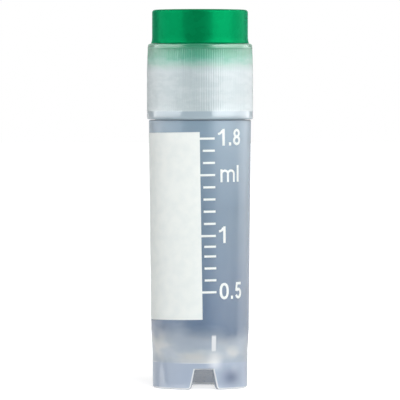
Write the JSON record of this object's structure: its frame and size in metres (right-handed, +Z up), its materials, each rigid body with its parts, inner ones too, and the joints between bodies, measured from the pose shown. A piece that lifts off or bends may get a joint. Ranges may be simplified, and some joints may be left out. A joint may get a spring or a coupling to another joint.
{
  "type": "cryovial",
  "caption": "Small self-standing cryogenic sample vial: natural plastic tube with a notched foot, printed scale and writing patch, closed by a ribbed screw cap with a green top.",
  "frame": {"origin": "centre of the foot, on the plane that the vial stands on (bottom centre of the whole object)", "axes": "+Z up along the tube's axis from foot to cap; -Y is the front, which one of the three foot notches is centred on; +X is to the right seen from the front"},
  "size_m": [0.013, 0.013, 0.0462],
  "materials": {
    "natural_plastic": "smooth translucent natural polypropylene",
    "frosted_plastic": "translucent natural polypropylene with fine moulded ribs",
    "green_plastic": "satin coloured polypropylene",
    "silicone": "matte silicone"
  },
  "bodies": {
    "vial": {"vial_body": "natural_plastic"},
    "washer": {"sealing_washer": "silicone"},
    "cap": {"cap_shell": "frosted_plastic", "color_insert": "green_plastic"}
  },
  "joints": [
    {"name": "cap_rise", "type": "slide", "parent": "vial", "child": "washer", "axis": [0, 0, 1], "range_m": [0, 0.0084]},
    {"name": "cap_turn", "type": "hinge", "parent": "washer", "child": "cap", "pos_m": [0, 0, 0.04], "axis": [0, 0, 1], "range_deg": [0, 1080]}
  ],
  "couplings": [
    {"joint": "cap_turn", "follows": "cap_rise", "rad_per_m": 2244}
  ]
}
